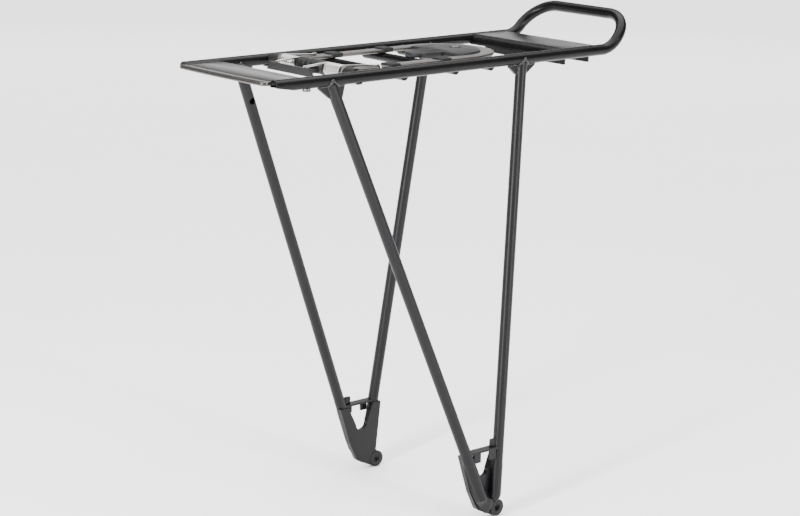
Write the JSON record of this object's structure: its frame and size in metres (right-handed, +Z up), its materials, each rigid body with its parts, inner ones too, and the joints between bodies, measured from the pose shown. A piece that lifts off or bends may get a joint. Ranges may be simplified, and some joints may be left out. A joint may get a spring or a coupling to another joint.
{
  "type": "rear bicycle rack",
  "caption": "Rear bicycle rack: a flat tubular deck on splayed legs with dropout plates, a raised loop at the rear, and a sprung load clamp hinged over the deck.",
  "frame": {"origin": "midway between the two dropout holes, on their common axis", "axes": "+X to the rear of the bicycle, +Y to its right, +Z up; the clamp is stored closed on the deck"},
  "size_m": [0.4243, 0.192, 0.4402],
  "materials": {
    "black_coating": "satin black powder coat on aluminium",
    "zinc_steel": "satin zinc plate on rolled steel",
    "dark_steel": "plain turned steel",
    "spring_wire": "bright plated spring wire",
    "black_plastic": "moulded black plastic",
    "black_rubber": "moulded black rubber"
  },
  "bodies": {
    "rack": {"rail_left": "black_coating", "rail_right": "black_coating", "loop_bend_left": "black_coating", "loop_bend_right": "black_coating", "rear_loop": "black_coating", "front_plate": "black_coating", "rear_plate": "black_coating", "lamp_bracket": "black_coating", "crossbar_front": "black_coating", "crossbar_middle": "black_coating", "crossbar_rear": "black_coating", "front_leg_left": "black_coating", "front_leg_right": "black_coating", "rear_leg_left": "black_coating", "rear_leg_right": "black_coating", "front_gusset_left": "black_coating", "front_gusset_right": "black_coating", "rear_gusset_left": "black_coating", "rear_gusset_right": "black_coating", "foot_plate_left": "black_coating", "foot_plate_right": "black_coating", "foot_bridge_left": "black_coating", "foot_bridge_right": "black_coating", "stay_screws": "dark_steel", "pivot_rod": "zinc_steel", "pivot_spacers": "black_plastic", "hub_sleeve": "black_plastic", "spring_bracket": "black_plastic"},
    "clamp": {"clamp_frame": "zinc_steel", "grip": "black_plastic", "grip_rivet": "dark_steel", "arm_pads": "black_rubber", "spring_left": "spring_wire", "spring_right": "spring_wire"}
  },
  "joints": [
    {"name": "clamp_hinge", "type": "hinge", "parent": "rack", "child": "clamp", "pos_m": [-0.143, 0, 0.4016], "axis": [0, -1, 0], "range_deg": [0, 95], "stiffness_Nm_per_rad": 0.5, "springref_deg": -57.3, "deforming": ["spring_left", "spring_right"]}
  ]
}
